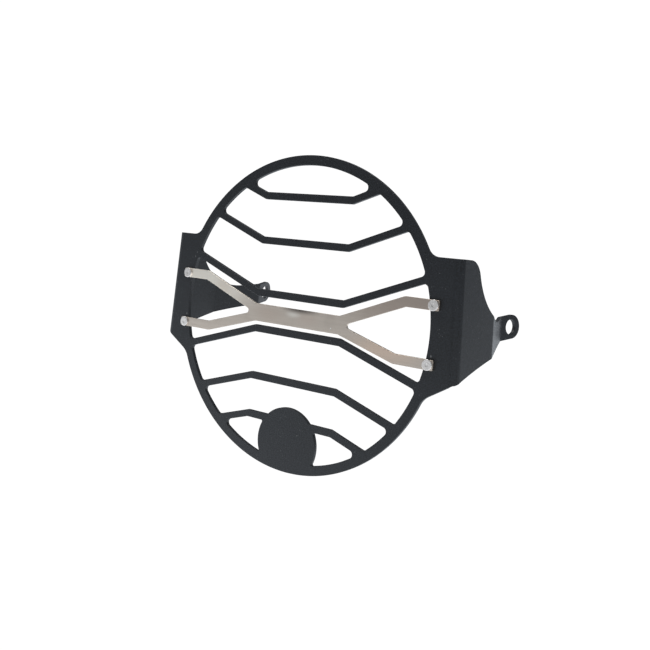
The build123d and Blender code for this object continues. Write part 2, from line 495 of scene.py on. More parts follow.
@dataclass
class Blank:
    """A flat blank with cut openings and rounded edges, folded and made a closed mesh.

    The edge is a surface of two parameters, the place along the cut and the place on a profile that runs from
    the outer face round the edge to the inner face. Its offset from the cut is r (sin a - 1) and its depth is
    r (1 - cos a), with a from 0 to 90 degrees, and the same mirrored at the inner face.
    """

    name: str
    sheet: float
    loops: List[Loop]
    front: float = 0.0
    plan: Optional[Plan] = None
    corner_steps: int = 4

    def _profile(self, loop: Loop) -> Tuple[np.ndarray, np.ndarray, np.ndarray]:
        """Samples the profile of an edge.

        Args:
            loop: the cut that the edge follows.

        Returns:
            Offset, depth and slope angle of its points, from the outer face to the inner one.
        """
        slope = np.linspace(0.0, math.pi / 2.0, self.corner_steps + 1)
        radius = loop.edge_radius
        offset = radius * (np.sin(slope) - 1.0)
        depth = radius * (1.0 - np.cos(slope))
        offset = np.concatenate([offset, offset[::-1]])
        depth = np.concatenate([depth, self.sheet - depth[::-1]])
        slope = np.concatenate([slope, math.pi - slope[::-1]])
        if loop.rim > 0.0:
            offset = np.concatenate([[-radius - loop.rim], offset, [-radius - loop.rim]])
            depth = np.concatenate([[0.0], depth, [self.sheet]])
            slope = np.concatenate([[0.0], slope, [math.pi]])
        return offset, depth, slope

    def _edge(self, loop: Loop) -> Tuple[np.ndarray, np.ndarray, np.ndarray, np.ndarray]:
        """Carries the profile along a cut: the place is the cut's plus its outward normal times the offset.

        Args:
            loop: the cut that the edge follows.

        Returns:
            Places on the blank and depths, one row for each point of the cut; normals in the blank's own axes
            of run, height and depth, one row for each vertex; and how much each vertex belongs to the rim.
        """
        offset, depth, slope = self._profile(loop)
        outward = loop.outward()[:, None]
        flat = loop.points[:, None] + outward * offset
        side = outward * np.sin(slope)
        inward = np.broadcast_to(-np.cos(slope), side.shape)
        normal = np.column_stack([side.real.ravel(), side.imag.ravel(), inward.ravel()])
        on_rim = np.ones(len(offset))
        if loop.rim > 0.0:
            on_rim[[0, -1]] = 0.0
        return flat, np.broadcast_to(depth, flat.shape), normal, np.broadcast_to(on_rim, flat.shape)

    def _place(
        self, flat: np.ndarray, depth: np.ndarray, normal: np.ndarray
    ) -> Tuple[np.ndarray, np.ndarray]:
        """Folds points and normals of the blank into the sheet's real form.

        Args:
            flat: complex places on the blank, run + i height.
            depth: how deep each point lies under the outer face.
            normal: normals in the blank's own axes: run, height and depth.

        Returns:
            Positions and unit normals, three columns each.
        """
        if self.plan is None:
            return np.column_stack([flat.real, self.front + depth, flat.imag]), normal[:, [0, 2, 1]]
        side = np.where(flat.real < 0.0, -1.0, 1.0)
        upright = self.plan.upright(flat)
        point, tangent = self.plan.outer_face(upright.real)
        inward = 1j * tangent
        point = point + inward * depth
        place = self.plan.leaning(point.real + 1j * upright.imag)
        in_plane = (side * normal[:, 0] + 1j * normal[:, 1]) / self.plan.turn
        turned = tangent * in_plane.real + inward * normal[:, 2]
        facing = (turned.real + 1j * in_plane.imag) * self.plan.turn
        position = np.column_stack([side * place.real, point.imag, place.imag])
        return position, np.column_stack([side * facing.real, turned.imag, facing.imag])

    def build(self) -> bpy.types.Object:
        """Makes the mesh: two flat faces, cut by a triangulation, and an edge strip round each loop.

        Returns:
            The object, in metres, with a UV map of the blank's own millimetres and a "rim" attribute.
        """
        loops = self.loops
        if self.plan is not None:
            loops = [loop.split_at(self.plan) for loop in loops]
        edges = [self._edge(loop) for loop in loops]
        flat, depth, rim = (np.concatenate([edge[part].ravel() for edge in edges]) for part in (0, 1, 3))
        normal = np.concatenate([edge[2] for edge in edges])
        starts = np.cumsum([0] + [edge[0].size for edge in edges])
        grids = [s + np.arange(edge[0].size).reshape(edge[0].shape) for s, edge in zip(starts, edges)]
        front = np.concatenate([grid[:, 0] for grid in grids])
        back = np.concatenate([grid[:, -1] for grid in grids])
        triangles = self._face_triangles(flat[front], [len(grid) for grid in grids])
        quads = np.concatenate([loop_quads(grid) for grid in grids])
        position, shading = self._place(flat, depth, normal)
        mesh = mesh_from(self.name, position * METRES, [quads, front[triangles], back[triangles[:, ::-1]]])
        add_uv(mesh, np.column_stack([flat.real, flat.imag]))
        attribute = mesh.attributes.new("rim", "FLOAT", "POINT")
        attribute.data.foreach_set("value", rim.astype(np.float32))
        mesh.normals_split_custom_set_from_vertices(shading.tolist())
        return link(self.name, mesh)

    def _face_triangles(self, flat: np.ndarray, counts: List[int]) -> np.ndarray:
        """Triangulates one face of the blank, with an edge along each line of a fold.

        Args:
            flat: the face's boundary points, loop after loop.
            counts: how many points each loop has.

        Returns:
            Rows of three indices into flat, counter-clockwise.
        """
        starts = np.cumsum([0] + counts[:-1])
        rings = [s + np.arange(n) for s, n in zip(starts, counts)]
        edges = [np.column_stack([ring, np.roll(ring, -1)]) for ring in rings]
        if self.plan is not None:
            edges.append(self._fold_edges(flat[: counts[0]], self.plan))
        corners = np.column_stack([flat.real, flat.imag]).tolist()
        made = delaunay_2d_cdt(corners, np.concatenate(edges).tolist(), [], 0, WELD)
        sources = np.array([origin[0] if origin else -1 for origin in made[3]])
        triangles = sources[np.array(made[2])]
        triangles = triangles[(triangles >= 0).all(axis=1)]
        cut = [Loop(flat[s : s + n], 0.0, 0.0) for s, n in zip(starts, counts)]
        return triangles[inside(flat[triangles].mean(axis=1), cut)]

    @staticmethod
    def _fold_edges(outline: np.ndarray, plan: Plan) -> np.ndarray:
        """Pairs the outline's points over and under the wing's axis that are nearest to each line of a fold.

        Args:
            outline: the blank's outer boundary.
            plan: the plan with the fold lines.

        Returns:
            Rows of two indices into the outline.
        """
        upper = plan.above_axis(outline)[None, :]
        away = np.abs(plan.signed_run(outline)[None, :] - plan.fold_runs()[:, None])
        top = np.argmin(np.where(upper, away, np.inf), axis=1)
        bottom = np.argmin(np.where(upper, np.inf, away), axis=1)
        return np.column_stack([top, bottom])


# Meshes


def loop_quads(grid: np.ndarray) -> np.ndarray:
    """Quads of a grid of vertex numbers whose last row meets its first: two neighbours, then the next two."""
    after = np.roll(grid, -1, axis=0)
    return np.stack([grid[:, :-1], grid[:, 1:], after[:, 1:], after[:, :-1]], axis=-1).reshape(-1, 4)


def fan(tip: int, rim: np.ndarray) -> np.ndarray:
    """Triangles from a tip to each pair of neighbours on a closed rim."""
    return np.column_stack([np.full(len(rim), tip), rim, np.roll(rim, -1)])


def circles(radius: np.ndarray, around: int) -> np.ndarray:
    """Points of circles, one column each: the radius times exp(i turn), with a row for each even turn."""
    return np.exp(2j * math.pi * np.arange(around) / around)[:, None] * radius[None, :]


def mesh_from(name: str, position: np.ndarray, faces: Sequence[np.ndarray]) -> bpy.types.Mesh:
    """A smooth shaded mesh from vertex rows and blocks of faces.

    Args:
        name: the mesh's name.
        position: one row of x, y, z in metres for each vertex.
        faces: arrays of vertex indices, one row a face, each array with its own number of corners.

    Returns:
        The new mesh.
    """
    mesh = bpy.data.meshes.new(name)
    sizes = np.concatenate([np.full(len(block), block.shape[1]) for block in faces])
    corners = np.concatenate([block.ravel() for block in faces])
    starts = np.concatenate([[0], np.cumsum(sizes)[:-1]])
    mesh.vertices.add(len(position))
    mesh.vertices.foreach_set("co", position.astype(np.float32).ravel())
    mesh.loops.add(len(corners))
    mesh.loops.foreach_set("vertex_index", corners.astype(np.int32))
    mesh.polygons.add(len(sizes))
    mesh.polygons.foreach_set("loop_start", starts.astype(np.int32))
    mesh.polygons.foreach_set("use_smooth", np.ones(len(sizes), bool))
    mesh.update(calc_edges=True)
    mesh.validate()
    return mesh


def add_uv(mesh: bpy.types.Mesh, uv: np.ndarray) -> None:
    """Gives each corner the UV of its vertex.

    Args:
        mesh: the mesh to map.
        uv: one row of u and v for each vertex.
    """
    layer = mesh.uv_layers.new(name="blank")
    corner = np.zeros(len(mesh.loops), np.int32)
    mesh.loops.foreach_get("vertex_index", corner)
    layer.data.foreach_set("uv", uv[corner].astype(np.float32).ravel())


def link(name: str, mesh: bpy.types.Mesh) -> bpy.types.Object:
    """Puts a mesh into the scene as an object at the origin.

    Args:
        name: the object's name.
        mesh: its mesh.

    Returns:
        The object.
    """
    piece = bpy.data.objects.new(name, mesh)
    bpy.context.scene.collection.objects.link(piece)
    return piece


def dress(piece: bpy.types.Object, material: bpy.types.Material, slot: str, *nodes: str) -> bpy.types.Object:
    """Gives a piece its material and body, and hides the CAD nodes that it stands for.

    Args:
        piece: the finished object.
        material: what its surface is made of.
        slot: a material slot's name, not used.
        nodes: names of the CAD nodes that it replaces.

    Returns:
        The same object.
    """
    piece.data.materials.clear()
    piece.data.materials.append(material)
    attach(piece, BODY)
    if nodes:
        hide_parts(*nodes)
    log.info("%s: %d vertices, %d faces", piece.name, len(piece.data.vertices), len(piece.data.polygons))
    return piece


# Shader kit


class Socket:
    """A shader value that can be used in a sum, a product and the like."""

    def __init__(self, kit: "ShaderKit", link_from: Optional[bpy.types.NodeSocket]) -> None:
        self.kit = kit
        self.link_from = link_from

    def _math(self, operation: str, *values: "Number", clamp: bool = False) -> "Socket":
        """A Math node over the given values."""
        settings = {"operation": operation, "use_clamp": clamp}
        return self.kit.node("ShaderNodeMath", settings, dict(enumerate(values)))

    def __add__(self, other: "Number") -> "Socket":
        """self + other."""
        return self._math("ADD", self, other)

    __radd__ = __add__

    def __sub__(self, other: "Number") -> "Socket":
        """self - other."""
        return self._math("SUBTRACT", self, other)

    def __rsub__(self, other: "Number") -> "Socket":
        """other - self."""
        return self._math("SUBTRACT", other, self)

    def __mul__(self, other: "Number") -> "Socket":
        """self * other."""
        return self._math("MULTIPLY", self, other)

    __rmul__ = __mul__

    def __pow__(self, other: "Number") -> "Socket":
        """self to the power of other."""
        return self._math("POWER", self, other)

    def clamped(self) -> "Socket":
        """The value kept between 0 and 1."""
        return self._math("ADD", self, 0.0, clamp=True)

    def sine(self) -> "Socket":
        """The sine of the value in radians."""
        return self._math("SINE", self)

    def between(self, low: float, high: float) -> "Socket":
        """A smooth step from 0 at low to 1 at high; low may be the larger one.

        Args:
            low: the value at which the step is 0.
            high: the value at which it is 1.

        Returns:
            The step.
        """
        settings = {"interpolation_type": "SMOOTHSTEP"}
        ends = (low, high, 0.0, 1.0) if low <= high else (high, low, 1.0, 0.0)
        return self.kit.node("ShaderNodeMapRange", settings, {0: self, **dict(enumerate(ends, 1))})


Number = Union[Socket, float]


@dataclass(frozen=True)
class ColourPatch:
    """A round patch of colour on a front face: where it is, how large, its colour and the colour's share.

    It may be stretched upwards. Its core is the share of the radius inside which it doesn't fade. On the coat
    patches are pale spots; on the brace they are painted highlights, shade and reflections, and one bright
    dot.
    """

    x: float
    z: float
    radius: float
    colour: Colour
    share: float
    stretch: float = 1.0
    core: float = 0.4


class ShaderKit:
    """Makes nodes in one tree and sets or links their sockets."""

    def __init__(self, tree: bpy.types.NodeTree) -> None:
        """Starts with an empty tree."""
        self.tree = tree
        tree.nodes.clear()

    def _feed(self, target: bpy.types.NodeSocket, value: object) -> None:
        """Feeds an input.

        Args:
            target: the input.
            value: a socket to link, or the value to set.
        """
        if isinstance(value, Socket):
            self.tree.links.new(value.link_from, target)
        else:
            target.default_value = value

    def node(
        self,
        kind: str,
        settings: Optional[Dict[str, object]] = None,
        inputs: Optional[Inputs] = None,
        output: Union[int, str] = 0,
    ) -> Socket:
        """Adds a node.

        Args:
            kind: the node's type.
            settings: attributes that are set before its sockets.
            inputs: values or sockets, by the input's name or number.
            output: the output to return, by name or number.

        Returns:
            The chosen output.
        """
        made = self.tree.nodes.new(kind)
        for key, value in (settings or {}).items():
            setattr(made, key, value)
        for key, value in (inputs or {}).items():
            self._feed(made.inputs[key], value)
        return Socket(self, made.outputs[output] if len(made.outputs) else None)

    def object_coordinates(
        self, shift: Triple = (0.0, 0.0, 0.0), stretch: Triple = (1.0, 1.0, 1.0)
    ) -> Socket:
        """The object's own coordinates in metres, stretched and then moved."""
        place = self.node("ShaderNodeTexCoord", output="Object")
        return self.node("ShaderNodeMapping", None, {"Vector": place, "Location": shift, "Scale": stretch})

    def noise(self, where: Socket, scale: float, detail: float = 2.0, roughness: float = 0.5) -> Socket:
        """Adds noise from about 0 to 1.

        Args:
            where: coordinates in metres.
            scale: bumps in a metre.
            detail: how many finer layers it has.
            roughness: how strong these are.

        Returns:
            The noise.
        """
        inputs = {"Vector": where, "Scale": scale, "Detail": detail, "Roughness": roughness}
        return self.node("ShaderNodeTexNoise", None, inputs)

    def cells(self, where: Socket, scale: float) -> Socket:
        """Distance from the middle of the nearest of Voronoi cells, with the given number in a metre."""
        return self.node("ShaderNodeTexVoronoi", None, {"Vector": where, "Scale": scale}, "Distance")

    def blend(self, share: Number, first: Union[Socket, Colour], second: Union[Socket, Colour]) -> Socket:
        """Mixes two colours.

        Args:
            share: how much of the second one there is.
            first: the colour at a share of 0.
            second: the colour at a share of 1.

        Returns:
            The mixed colour.
        """
        made = self.tree.nodes.new("ShaderNodeMix")
        made.data_type = "RGBA"
        for key, value in {"Factor": share, "A": first, "B": second}.items():
            target = next(s for s in made.inputs if s.name == key and s.enabled)
            self._feed(target, (*value, 1.0) if isinstance(value, tuple) else value)
        return Socket(self, next(s for s in made.outputs if s.enabled))

    def parts(self, vector: Socket) -> List[Socket]:
        """Takes a vector apart.

        Args:
            vector: any vector.

        Returns:
            Its x, y and z.
        """
        made = self.tree.nodes.new("ShaderNodeSeparateXYZ")
        self._feed(made.inputs[0], vector)
        return [Socket(self, output) for output in made.outputs]

    def with_patches(
        self, colour: Socket, place: Socket, spots_and_painted_light: Sequence[ColourPatch], back: float, fade: float = 0.2
    ) -> Socket:
        """Lays round colour patches on the front face, one over the other: pale spots, and patches of painted
        light.

        A patch's share falls smoothly from its core to its radius: r = sqrt(dx^2 + (dz / stretch)^2).

        Args:
            colour: the surface's own colour.
            place: object coordinates.
            spots_and_painted_light: the patches.
            back: depth in millimetres beyond which there are none.
            fade: millimetres over which they fade towards that depth.

        Returns:
            The new colour.
        """
        x, y, z = self.parts(place)
        in_front = y.between(back * METRES, (back - fade) * METRES)
        for colour_patch in spots_and_painted_light:
            across = x - colour_patch.x * METRES
            up = (z - colour_patch.z * METRES) * (1.0 / colour_patch.stretch)
            away = (across * across + up * up) ** 0.5
            mask = away.between(colour_patch.radius * METRES, colour_patch.core * colour_patch.radius * METRES) * in_front
            colour = self.blend(mask * colour_patch.share, colour, colour_patch.colour)
        return colour

    def bump(
        self, height: Number, distance: float, strength: float = 1.0, over: Optional[Socket] = None
    ) -> Socket:
        """Turns a height into a normal.

        Args:
            height: the height, whose unit stands for the distance.
            distance: metres.
            strength: how much of the bump shows.
            over: the normal to start from, or nothing for the surface's own.

        Returns:
            The new normal.
        """
        inputs: Inputs = {"Height": height, "Distance": distance, "Strength": strength}
        if over is not None:
            inputs["Normal"] = over
        return self.node("ShaderNodeBump", None, inputs)

    def surface(self, constants: Dict[str, object], varied: Dict[str, Socket]) -> None:
        """Ends the tree in a Principled surface, with constants and with links to what varies."""
        shader = self.node("ShaderNodeBsdfPrincipled", None, {**constants, **varied})
        self.node("ShaderNodeOutputMaterial", None, {"Surface": shader})


def new_material(name: str) -> Tuple[bpy.types.Material, ShaderKit]:
    """Starts a node material.

    Args:
        name: the material's name.
    """
    material = bpy.data.materials.new(name)
    material.use_nodes = True
    return material, ShaderKit(material.node_tree)


# Finishes


@dataclass(frozen=True)
class PowderCoat:
    """Fine textured black powder coat: a pebbled skin with painted shade in its hollows and painted glints on
    its crests, dust specks, dull patches and a few small pale spots.

    In the finishes a scale is a number of bumps in a metre and a height is in metres. A share says how much
    of a colour goes over the rest, but those of the shaded hollows and glinting crests multiply the coat's
    black.
    """

    black: Colour = (0.0035, 0.0042, 0.0055)
    # Painted shade and painted glints: the pebbles' hollows darker and their crests lighter, as shares of the
    # coat's black.
    shaded_hollow_share: float = 0.1
    glinting_crest_share: float = 3.2
    patch_share: float = 0.25
    worn: Colour = (0.026, 0.028, 0.031)
    worn_share: float = 0.4
    speck: Colour = (0.10, 0.10, 0.098)
    speck_share: float = 0.7
    roughness: float = 0.45
    pebble_scale: float = 1200.0
    swell_scale: float = 260.0
    patch_scale: float = 22.0
    wear_scale: float = 90.0
    speck_scale: float = 560.0
    dusty_scale: float = 130.0
    pebble_height: float = 0.00012
    swell_height: float = 0.00012
    # Small pale spots on the front face.
    pale_spots: Tuple[ColourPatch, ...] = (
        ColourPatch(-90.0, 32.8, 0.5, (0.12, 0.12, 0.12), 0.6, 2.0),
        ColourPatch(-91.2, 29.9, 0.5, (0.12, 0.12, 0.12), 0.8, 2.0),
        ColourPatch(-95.3, -10.0, 0.75, (0.14, 0.14, 0.14), 0.75, 1.3),
        ColourPatch(96.1, -10.4, 0.7, (0.20, 0.20, 0.20), 0.75, 1.3),
    )
    pale_spots_back: float = 0.5

    def material(self) -> bpy.types.Material:
        """Builds the coat.

        Returns:
            Its material.
        """
        material, kit = new_material("black_powder_coat")
        place = kit.object_coordinates()
        pebbles = kit.noise(place, self.pebble_scale, 3.0, 0.6)
        patches = kit.noise(place, self.patch_scale, 3.0, 0.55)
        rim = kit.node("ShaderNodeAttribute", {"attribute_name": "rim"}, None, "Fac")
        worn = (rim * kit.noise(place, self.wear_scale, 4.0, 0.65).between(0.56, 0.76)).clamped()
        dusty = kit.noise(place, self.dusty_scale, 1.0).between(0.52, 0.64)
        specks = (kit.cells(place, self.speck_scale).between(0.20, 0.10) * dusty).clamped()
        # Painted shade in the pebbles' hollows and painted glints on their crests: the noise of the pebble
        # bumps sets the colour.
        shaded_hollow = tuple(self.shaded_hollow_share * part for part in self.black)
        glinting_crest = tuple(self.glinting_crest_share * part for part in self.black)
        colour = kit.blend(pebbles.between(0.35, 0.65), shaded_hollow, glinting_crest)
        colour = kit.blend(patches.between(0.35, 0.7) * self.patch_share, colour, glinting_crest)
        colour = kit.blend(worn * self.worn_share, colour, self.worn)
        colour = kit.blend(specks * self.speck_share, colour, self.speck)
        colour = kit.with_patches(colour, place, self.pale_spots, self.pale_spots_back)
        rough = self.roughness + 0.10 * (patches - 0.5) + 0.08 * (pebbles - 0.5) - 0.06 * worn
        skin = kit.bump(pebbles, self.pebble_height, 0.55)
        skin = kit.bump(kit.noise(place, self.swell_scale), self.swell_height, 0.35, skin)
        kit.surface({"Metallic": 0.0, "IOR": 1.5}, {"Base Color": colour, "Roughness": rough, "Normal": skin})
        return material


@dataclass(frozen=True)
class BrushedSteel:
    """Brushed stainless steel: fine grinding lines along X, with soft brighter and darker streaks, and round
    patches of painted highlights, shade and reflections where they are given.

    The pattern of the lines is drawn out along X by squeezing the coordinate there.
    """

    name: str
    bright: Colour = (0.655, 0.570, 0.487)
    dull: Colour = (0.600, 0.522, 0.443)
    stain: Colour = (0.46, 0.39, 0.33)
    stain_share: float = 0.4
    roughness: float = 0.36
    squeeze: float = 0.03
    scratch_scale: float = 5200.0
    streak_scale: float = 700.0
    cloud_scale: float = 60.0
    scratch_height: float = 0.000008
    # Round patches of painted highlights, shade and reflections on the front face, and the depth behind which
    # there are none.
    spots_and_painted_light: Tuple[ColourPatch, ...] = ()
    painted_light_back: float = -1.2

    def material(self) -> bpy.types.Material:
        """Builds the steel.

        Returns:
            Its material.
        """
        material, kit = new_material(self.name)
        lines = kit.object_coordinates(stretch=(self.squeeze, 1.0, 1.0))
        place = kit.object_coordinates()
        scratches = kit.noise(lines, self.scratch_scale, 3.0, 0.65)
        streaks = kit.noise(lines, self.streak_scale, 3.0, 0.6)
        clouds = kit.noise(place, self.cloud_scale, 3.0, 0.6)
        colour = kit.blend(streaks.between(0.3, 0.7), self.dull, self.bright)
        colour = kit.blend(clouds.between(0.50, 0.80) * self.stain_share, colour, self.stain)
        # Lays the patches of painted highlights, shade and reflections over the steel's colour.
        if self.spots_and_painted_light:
            colour = kit.with_patches(colour, place, self.spots_and_painted_light, self.painted_light_back)
        rough = self.roughness + 0.10 * (scratches - 0.5) + 0.10 * (clouds - 0.5)
        ground = kit.bump(scratches, self.scratch_height, 0.4)
        kit.surface({"Metallic": 1.0}, {"Base Color": colour, "Roughness": rough, "Normal": ground})
        return material


@dataclass(frozen=True)
class RivetAlloy:
    """Satin aluminium of a set rivet: rings left by the setting tool round the middle, and small dents.

    The rings are the sine of their number times the distance from the rivet's middle in metres.
    """

    name: str
    centre: complex
    colour: Colour = (0.86, 0.81, 0.77)
    shade: Colour = (0.56, 0.53, 0.50)
    shade_share: float = 0.5
    roughness: float = 0.40
    rings: float = 9500.0
    dent_scale: float = 1500.0
    shade_scale: float = 900.0
    dent_height: float = 0.00006
    ring_height: float = 0.000010

    def material(self) -> bpy.types.Material:
        """Builds the alloy of one rivet, with its rings about the rivet's own middle.

        Returns:
            Its material.
        """
        material, kit = new_material(self.name)
        place = kit.object_coordinates(shift=(-self.centre.real * METRES, 0.0, -self.centre.imag * METRES))
        x, _, z = kit.parts(place)
        rings = ((x * x + z * z) ** 0.5 * self.rings).sine()
        shades = kit.noise(place, self.shade_scale)
        colour = kit.blend(shades.between(0.45, 0.75) * self.shade_share, self.colour, self.shade)
        rough = self.roughness + 0.18 * (shades - 0.5)
        skin = kit.bump(kit.noise(place, self.dent_scale, 2.0, 0.6), self.dent_height, 0.5)
        skin = kit.bump(rings, self.ring_height, 0.6, skin)
        kit.surface({"Metallic": 1.0}, {"Base Color": colour, "Roughness": rough, "Normal": skin})
        return material


BRACE_STEEL = BrushedSteel(
    "brushed_stainless",
    # Painted light on the brace: highlights, shade and reflections as round patches, and one small bright
    # dot.
    spots_and_painted_light=(
        # Painted highlight: the upper left arm lighter.
        ColourPatch(-76.0, 15.0, 60.0, (1.0, 0.92, 0.80), 1.0, 0.4, 0.2),
        # Painted shade: the upper right arm darker.
        ColourPatch(78.0, 16.0, 60.0, (0.49, 0.395, 0.33), 0.75, 0.4, 0.1),
        # Painted reflection: warm light on the lower right arm.
        ColourPatch(66.0, -11.0, 34.0, (0.80, 0.59, 0.45), 0.6, 0.35, 0.1),
        # Painted reflections: darker patches left and right of the middle.
        ColourPatch(-22.0, -1.0, 17.0, (0.58, 0.47, 0.39), 0.5, 0.45, 0.1),
        ColourPatch(9.0, -0.5, 13.0, (0.62, 0.50, 0.42), 0.4, 0.5, 0.1),
        # Painted highlight: a light spot in the middle.
        ColourPatch(-2.0, 0.8, 8.0, (0.86, 0.80, 0.72), 0.65, 0.35, 0.1),
        # Painted highlight on the upper left arm.
        ColourPatch(-62.0, 12.5, 11.0, (0.82, 0.69, 0.57), 0.5, 0.8, 0.1),
        # Painted reflection: a dark streak along the middle's upper edge.
        ColourPatch(3.0, 5.3, 20.0, (0.07, 0.06, 0.055), 0.95, 0.23, 0.05),
        ColourPatch(27.3, -3.8, 0.5, (0.95, 0.95, 0.92), 0.9),
    ),
)
PIN_STEEL = BrushedSteel(
    "broken_pin_steel",
    bright=(0.90, 0.86, 0.82),
    dull=(0.78, 0.74, 0.70),
    stain=(0.5, 0.48, 0.46),
    roughness=0.42,
)


# Where the rivets sit


@dataclass(frozen=True)
class RivetPattern:
    """The places of the four rivets and the holes that they go through, with edges that the rivets hide."""

    spread: float = 95.2
    upper: float = 18.4
    lower: float = -15.3
    hole_radius: float = 1.65
    hole_points: int = 32
    hole_edge: float = 0.1

    def places(self) -> Dict[str, complex]:
        """Names the rivets.

        Returns:
            X + i Z of each rivet, by name.
        """
        rows = (("upper", self.upper), ("lower", self.lower))
        columns = (("left", -self.spread), ("right", self.spread))
        return {f"{row}_{column}": complex(x, z) for row, z in rows for column, x in columns}

    def holes(self) -> List[Loop]:
        """The rivet holes of a flat sheet."""
        rings = [circle_loop(place, self.hole_radius, self.hole_points) for place in self.places().values()]
        return [Loop(ring, self.hole_edge, 0.0) for ring in rings]


# The guard's sheet


@dataclass
class GuardPlate:
    """The folded sheet: ring, six bars, disc, two cheeks, two wings and two bolt ears."""

    sheet: float = 2.5
    inner_fold_radius: float = 2.5
    ring_outer: float = 99.96
    ring_inner: float = 93.8
    bar_width: float = 4.7
    bar_half_flat: float = 33.3
    upper_bars: Tuple[float, ...] = (73.8, 45.4, 11.6)
    lower_bars: Tuple[float, ...] = (-11.7, -42.6, -68.0)
    upper_angle: float = 20.6
    lower_angle: float = -17.5
    opening_corner: float = 2.6
    disc_corner: float = 0.8
    disc_radius: float = 23.0
    disc_height: float = -81.5
    cheek_half_width: float = 111.5
    fold_lean: float = 3.4
    cheek_top: float = 45.3
    cheek_bottom: float = -24.9
    cheek_foot_angle: float = 31.4
    cheek_top_fillet: float = 8.0
    cheek_foot_fillet: float = 12.0
    panel: float = 43.5
    panel_splay: float = 2.0
    neck: float = 38.6
    neck_inset: float = 16.7
    ear: float = 19.6
    ear_splay: float = 13.7
    ear_height: float = 5.0
    ear_rise: float = 8.0
    ear_width: float = 15.5
    shoulder_depth: float = 12.0
    shoulder_radius: float = 12.0
    sweep_radius: float = 41.0
    heel: Tuple[float, float] = (7.5, -22.5)
    heel_round: float = 1.5
    foot_inset: float = 1.9
    throat_before_hole: float = 6.0
    ear_hole: float = 4.85
    ear_hole_from_end: float = 9.6
    tip_trim: float = 0.6
    hole_points: int = 72
    edge_radius: float = 0.3
    rim: float = 0.45
    wing_step: float = 1.0
    rivets: RivetPattern = RivetPattern()

    @property
    def _ear_along(self) -> complex:
        """Unit vector along the ear, as depth + i height."""
        return Straight(0j, self.ear_rise).direction

    def plan(self) -> Plan:
        """Puts flats and folds together.

        Returns:
            The plan of the folded sheet.
        """
        flats = (self.cheek_half_width, self.panel, self.neck, self.ear)
        folds = (
            Fold(90.0 - self.panel_splay),
            Fold(self.panel_splay + self.neck_inset),
            Fold(-self.neck_inset - self.ear_splay),
        )
        return Plan(self.sheet, self.inner_fold_radius, flats, folds, self.fold_lean)

    def _bar_edge(self, height: float, angle: float) -> List[Straight]:
        """Lays out one edge of a bar.

        Args:
            height: of the edge in the middle.
            angle: of its right end, in degrees.

        Returns:
            Its three stretches, from left to right.
        """
        left = Straight(complex(-self.bar_half_flat, height), -angle)
        flat = Straight(complex(0.0, height), 0.0)
        right = Straight(complex(self.bar_half_flat, height), angle)
        return [left, flat, right]

    @staticmethod
    def _reversed(edge: List[Straight]) -> List[Straight]:
        """The same stretches travelled from right to left."""
        return [Straight(cut.through, cut.heading + 180.0) for cut in reversed(edge)]

    def _disc(self) -> Round:
        """The disc's edge as a gap beside it is cut."""
        return Round(complex(0.0, self.disc_height), self.disc_radius, Turn.RIGHT)

    def openings(self) -> List[Loop]:
        """Cuts the grille's openings: over, between and under the bars, clear of the disc.

        Returns:
            Their loops, from the top down.
        """
        ring = Round(0j, self.ring_inner)
        disc = self._disc()
        half = self.bar_width / 2.0
        bars = [(z, self.upper_angle) for z in self.upper_bars]
        bars += [(z, self.lower_angle) for z in self.lower_bars]
        tops = [self._reversed(self._bar_edge(z - half, angle)) for z, angle in bars]
        floors = [self._bar_edge(z + half, angle) for z, angle in bars]
        loops: List[Loop] = []
        for top, (left, flat, right) in zip([None] + tops[:-1], floors):
            touches = flat.through.imag < self.disc_height + self.disc_radius
            floor = [left, flat, disc, flat, right] if touches else [left, flat, right]
            loops.append(self._opening(floor + [ring] + (top + [ring] if top else [])))
        right, flat, left = tops[-1]
        loops.append(self._opening([ring, disc, flat, left]))
        loops.append(self._opening([disc, ring, right, flat]))
        return loops

    def _opening(self, cuts: List[Cut]) -> Loop:
        """One opening: each corner turns left round the gap, but a bar's own kink may turn right.

        Args:
            cuts: the gap's edges, counter-clockwise.

        Returns:
            The loop with the sheet on its left.
        """
        corners: List[Corner] = []
        for cut, after in zip(cuts, cuts[1:] + cuts[:1]):
            turn = Turn.LEFT
            if isinstance(cut, Straight) and isinstance(after, Straight):
                bends_left = (cut.direction.conjugate() * after.direction).imag > 0.0
                turn = Turn.LEFT if bends_left else Turn.RIGHT
            radius = self.disc_corner if self._disc() in (cut, after) else self.opening_corner
            corners.append(Corner(radius, turn))
        points = CutPath(cuts, corners).closed()
        return Loop(points[::-1], self.edge_radius, self.rim)

    def _hole_side(self, plan: Plan) -> complex:
        """Finds the right ear's bolt hole.

        Args:
            plan: the sheet's plan.

        Returns:
            Its middle on the outer face, as depth + i height.
        """
        run = np.array([plan.length - self.ear_hole_from_end])
        return complex(plan.outer_face(run)[0][0].imag, self.ear_height)

